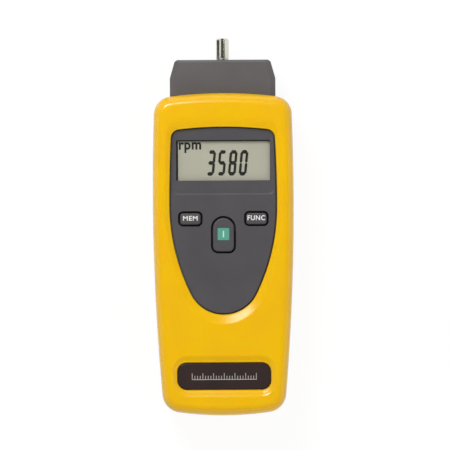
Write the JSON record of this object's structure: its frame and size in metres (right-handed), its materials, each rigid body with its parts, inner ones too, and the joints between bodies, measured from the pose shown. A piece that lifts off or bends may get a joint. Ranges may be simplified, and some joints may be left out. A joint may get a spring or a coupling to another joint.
{
  "type": "laser tachometer",
  "caption": "Hand-held laser tachometer: moulded case, shield-shaped panel with display and keys, and a sensor head with a contact drive shaft at its end.",
  "frame": {"origin": "middle of the overall footprint, on the resting face of the back", "axes": "+Z out of the front face, +Y along the case towards the drive shaft, +X to the right seen from the front"},
  "size_m": [0.0654, 0.175, 0.038],
  "materials": {
    "case_yellow": "satin moulded, fine texture",
    "dark_moulding": "matt moulded, fine texture",
    "head_grey": "matt moulded",
    "plate_black": "satin",
    "display_glass": "clear",
    "display_grey": "satin grey-green",
    "laser_red": "red tinted, clear",
    "optic_glass": "clear",
    "steel": "ground",
    "dark_steel": "oiled black",
    "brass": "turned",
    "board": "solder mask",
    "inner_black": "matt",
    "inner_white": "matt",
    "strip_rubber": "matt",
    "cell_jacket": "satin jacket"
  },
  "bodies": {
    "case": {"front_shell": "case_yellow", "rear_shell": "case_yellow", "case_screws": "dark_steel", "front_panel": "dark_moulding", "display_window": "display_glass", "display_cell": "display_grey", "display_frame": "inner_white", "connector_strips": "strip_rubber", "key_switches": "inner_black", "name_plate": "plate_black", "circuit_board": "board", "controller_chip": "inner_black", "board_screws": "steel", "sensor_head": "head_grey", "laser_window": "laser_red", "laser_module": "brass", "receiver_lens": "optic_glass", "photo_sensor": "steel", "front_bearing": "steel", "rear_bearing": "steel", "bearing_carrier": "inner_black", "carrier_screws": "steel", "optical_interrupter": "inner_black", "cell_left": "cell_jacket", "cell_right": "cell_jacket", "spring_bottom": "steel", "spring_top": "steel", "bridge_plate": "steel", "plus_plate": "steel", "minus_plate": "steel"},
    "shaft": {"drive_shaft": "steel", "inner_rings": "steel", "retaining_ring": "dark_steel", "encoder_disc": "inner_black"},
    "mem_button": {"mem_key": "dark_moulding", "mem_plunger": "inner_white"},
    "func_button": {"func_key": "dark_moulding", "func_plunger": "inner_white"},
    "power_button": {"power_key": "dark_moulding", "power_plunger": "inner_white"},
    "door": {"battery_door": "case_yellow"}
  },
  "joints": [
    {"name": "shaft_spin", "type": "hinge", "parent": "case", "child": "shaft", "pos_m": [0, 0.0775, 0.017], "axis": [0, 1, 0], "continuous": true},
    {"name": "mem_press", "type": "slide", "parent": "case", "child": "mem_button", "axis": [0, 0, -1], "range_m": [0, 0.0008], "stiffness_N_per_m": 500},
    {"name": "func_press", "type": "slide", "parent": "case", "child": "func_button", "axis": [0, 0, -1], "range_m": [0, 0.0008], "stiffness_N_per_m": 500},
    {"name": "power_press", "type": "slide", "parent": "case", "child": "power_button", "axis": [0, 0, -1], "range_m": [0, 0.0008], "stiffness_N_per_m": 500},
    {"name": "door_slide", "type": "slide", "parent": "case", "child": "door", "axis": [0, -1, 0], "range_m": [0, 0.06]}
  ]
}
